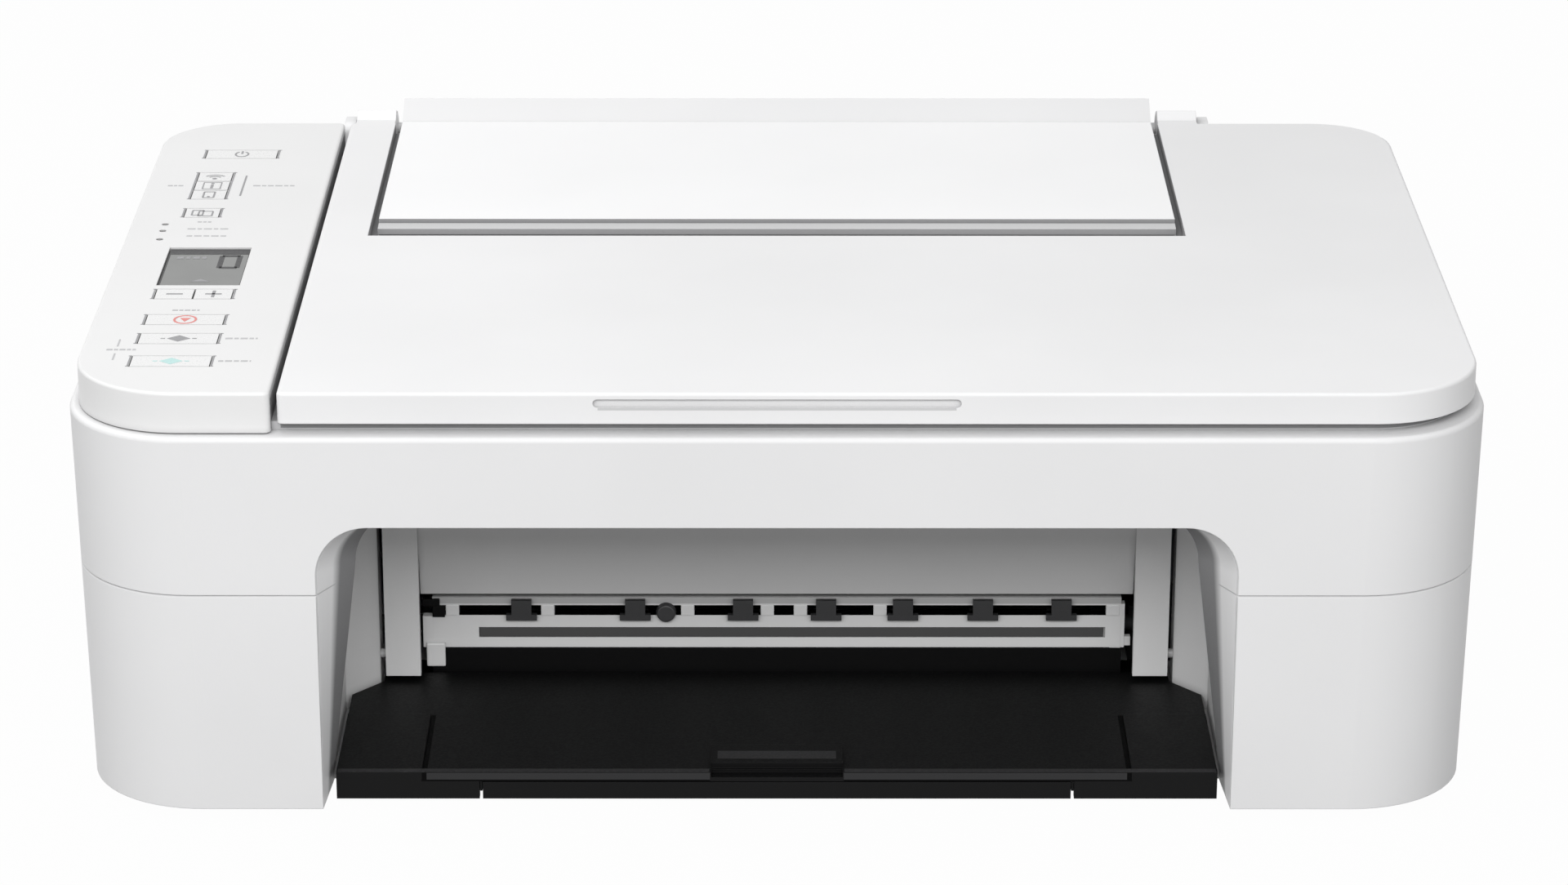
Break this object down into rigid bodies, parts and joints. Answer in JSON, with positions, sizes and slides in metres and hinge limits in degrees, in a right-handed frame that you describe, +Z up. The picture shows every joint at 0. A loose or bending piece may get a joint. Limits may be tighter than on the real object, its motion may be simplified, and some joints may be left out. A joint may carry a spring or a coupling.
{
  "type": "inkjet printer",
  "caption": "Compact flatbed inkjet printer with hinged scanner lid, folding paper support, side control panel, arched front bay with a hinged cartridge cover and a sliding output tray.",
  "frame": {"origin": "on the ground under the centre of the outline", "axes": "+Z up, +X to the right seen from the front, front faces -Y"},
  "size_m": [0.435, 0.316, 0.145],
  "materials": {
    "case_white": "fine textured",
    "panel_white": "smooth",
    "lid_white": "fine textured",
    "support_white": "fine textured",
    "pad_white": "foam sheet",
    "inner_grey": "moulded",
    "scan_glass": "clear",
    "dark_plastic": "moulded",
    "display_grey": "glossy window",
    "board_green": "circuit board",
    "lamp_clear": "clear lens",
    "foot_rubber": "matt",
    "tray_black": "fine textured",
    "bay_grey": "fine textured",
    "cover_grey": "fine textured",
    "frame_white": "moulded",
    "roller_rubber": "matt",
    "steel": "plated sheet",
    "gear_white": "moulded",
    "brass": "turned",
    "cartridge_dark": "moulded",
    "cartridge_grey": "moulded",
    "belt_rubber": "matt",
    "key_white": "smooth"
  },
  "bodies": {
    "printer": {"lower_case": "case_white", "upper_case": "case_white", "rear_housing": "case_white", "control_panel": "panel_white", "scanner_frame": "inner_grey", "scanner_glass": "scan_glass", "lcd_module": "display_grey", "panel_board": "board_green", "status_leds": "lamp_clear", "rubber_feet": "foot_rubber", "tray_base": "tray_black", "side_wall_left": "bay_grey", "side_wall_right": "bay_grey", "eject_frame": "frame_white", "star_wheel_blocks": "dark_plastic", "platen": "dark_plastic", "feed_motor": "steel", "chassis": "steel", "carriage_rod": "steel", "chassis_screws": "steel", "timing_belt": "belt_rubber", "carriage_motor": "steel", "paper_chute": "dark_plastic", "power_supply": "dark_plastic", "power_inlet": "dark_plastic", "main_board": "board_green", "usb_port": "steel", "maintenance_station": "dark_plastic"},
    "lid": {"document_lid": "lid_white", "lid_pad": "pad_white"},
    "support": {"paper_support": "support_white"},
    "cover": {"cartridge_cover": "cover_grey"},
    "tray": {"output_tray": "tray_black"},
    "extension": {"tray_extension": "tray_black"},
    "carriage": {"carriage": "dark_plastic", "cartridge_black": "cartridge_dark", "cartridge_color": "cartridge_grey"},
    "scan_bar": {"scan_bar": "dark_plastic"},
    "feed": {"feed_roller": "steel", "feed_gear": "gear_white"},
    "eject": {"eject_roller": "roller_rubber", "eject_gear": "gear_white"},
    "idler": {"idler_gear": "gear_white"},
    "pinion": {"motor_pinion": "brass"},
    "drive_pulley": {"drive_pulley": "brass"},
    "idler_pulley": {"idler_pulley": "gear_white"},
    "pickup": {"pickup_roller": "roller_rubber"},
    "guide_left": {"paper_guide_left": "bay_grey"},
    "guide_right": {"paper_guide_right": "bay_grey"},
    "power_button": {"power_button": "key_white"},
    "network_button": {"network_button": "key_white"},
    "info_button": {"info_button": "key_white"},
    "direct_button": {"direct_button": "key_white"},
    "paper_button": {"paper_button": "key_white"},
    "copies_less_button": {"copies_less_button": "key_white"},
    "copies_more_button": {"copies_more_button": "key_white"},
    "stop_button": {"stop_button": "key_white"},
    "black_start_button": {"black_start_button": "key_white"},
    "color_start_button": {"color_start_button": "key_white"}
  },
  "joints": [
    {"name": "lid_hinge", "type": "hinge", "parent": "printer", "child": "lid", "pos_m": [0, 0.14, 0.134], "axis": [-1, 0, 0], "range_deg": [0, 60]},
    {"name": "support_hinge", "type": "hinge", "parent": "lid", "child": "support", "pos_m": [0, 0.14, 0.134], "axis": [-1, 0, 0], "range_deg": [0, 105]},
    {"name": "cover_hinge", "type": "hinge", "parent": "printer", "child": "cover", "pos_m": [0, -0.0715, 0.02], "axis": [1, 0, 0], "range_deg": [0, 85]},
    {"name": "tray_slide", "type": "slide", "parent": "printer", "child": "tray", "axis": [0, -1, 0], "range_m": [0, 0.06]},
    {"name": "extension_slide", "type": "slide", "parent": "tray", "child": "extension", "axis": [0, -1, 0], "range_m": [0, 0.05]},
    {"name": "carriage_slide", "type": "slide", "parent": "printer", "child": "carriage", "axis": [-1, 0, 0], "range_m": [0, 0.275]},
    {"name": "drive_pulley_spin", "type": "hinge", "parent": "printer", "child": "drive_pulley", "pos_m": [-0.178, 0.021, 0.088], "axis": [0, 1, 0], "continuous": true},
    {"name": "idler_pulley_spin", "type": "hinge", "parent": "printer", "child": "idler_pulley", "pos_m": [0.178, 0.021, 0.088], "axis": [0, 1, 0], "continuous": true},
    {"name": "scan_bar_slide", "type": "slide", "parent": "printer", "child": "scan_bar", "axis": [1, 0, 0], "range_m": [0, 0.29]},
    {"name": "feed_spin", "type": "hinge", "parent": "printer", "child": "feed", "pos_m": [0, 0.012, 0.022], "axis": [1, 0, 0], "continuous": true},
    {"name": "eject_spin", "type": "hinge", "parent": "printer", "child": "eject", "pos_m": [0, -0.055, 0.024], "axis": [1, 0, 0], "continuous": true},
    {"name": "idler_spin", "type": "hinge", "parent": "printer", "child": "idler", "pos_m": [-0.173, -0.02324, 0.03899], "axis": [1, 0, 0], "continuous": true},
    {"name": "pinion_spin", "type": "hinge", "parent": "printer", "child": "pinion", "pos_m": [-0.173, 0.03114, 0.03093], "axis": [1, 0, 0], "continuous": true},
    {"name": "pickup_spin", "type": "hinge", "parent": "printer", "child": "pickup", "pos_m": [0, 0.112, 0.07], "axis": [-1, 0, 0], "continuous": true},
    {"name": "guide_left_slide", "type": "slide", "parent": "printer", "child": "guide_left", "axis": [1, 0, 0], "range_m": [0, 0.055]},
    {"name": "guide_right_slide", "type": "slide", "parent": "printer", "child": "guide_right", "axis": [-1, 0, 0], "range_m": [0, 0.055]},
    {"name": "power_press", "type": "slide", "parent": "printer", "child": "power_button", "axis": [0, 0, -1], "range_m": [0, 0.0008], "stiffness_N_per_m": 500, "springref_m": -0.0005},
    {"name": "network_press", "type": "slide", "parent": "printer", "child": "network_button", "axis": [0, 0, -1], "range_m": [0, 0.0008], "stiffness_N_per_m": 500, "springref_m": -0.0005},
    {"name": "info_press", "type": "slide", "parent": "printer", "child": "info_button", "axis": [0, 0, -1], "range_m": [0, 0.0008], "stiffness_N_per_m": 500, "springref_m": -0.0005},
    {"name": "direct_press", "type": "slide", "parent": "printer", "child": "direct_button", "axis": [0, 0, -1], "range_m": [0, 0.0008], "stiffness_N_per_m": 500, "springref_m": -0.0005},
    {"name": "paper_press", "type": "slide", "parent": "printer", "child": "paper_button", "axis": [0, 0, -1], "range_m": [0, 0.0008], "stiffness_N_per_m": 500, "springref_m": -0.0005},
    {"name": "copies_less_press", "type": "slide", "parent": "printer", "child": "copies_less_button", "axis": [0, 0, -1], "range_m": [0, 0.0008], "stiffness_N_per_m": 500, "springref_m": -0.0005},
    {"name": "copies_more_press", "type": "slide", "parent": "printer", "child": "copies_more_button", "axis": [0, 0, -1], "range_m": [0, 0.0008], "stiffness_N_per_m": 500, "springref_m": -0.0005},
    {"name": "stop_press", "type": "slide", "parent": "printer", "child": "stop_button", "axis": [0, 0, -1], "range_m": [0, 0.0008], "stiffness_N_per_m": 500, "springref_m": -0.0005},
    {"name": "black_start_press", "type": "slide", "parent": "printer", "child": "black_start_button", "axis": [0, 0, -1], "range_m": [0, 0.0008], "stiffness_N_per_m": 500, "springref_m": -0.0005},
    {"name": "color_start_press", "type": "slide", "parent": "printer", "child": "color_start_button", "axis": [0, 0, -1], "range_m": [0, 0.0008], "stiffness_N_per_m": 500, "springref_m": -0.0005}
  ],
  "couplings": [
    {"joint": "drive_pulley_spin", "follows": "carriage_slide", "rad_per_m": 151.51},
    {"joint": "idler_pulley_spin", "follows": "carriage_slide", "rad_per_m": 151.51},
    {"joint": "eject_spin", "follows": "feed_spin", "ratio": 1.4},
    {"joint": "idler_spin", "follows": "feed_spin", "ratio": -0.56},
    {"joint": "pinion_spin", "follows": "feed_spin", "ratio": -2},
    {"joint": "guide_right_slide", "follows": "guide_left_slide", "ratio": 1}
  ]
}
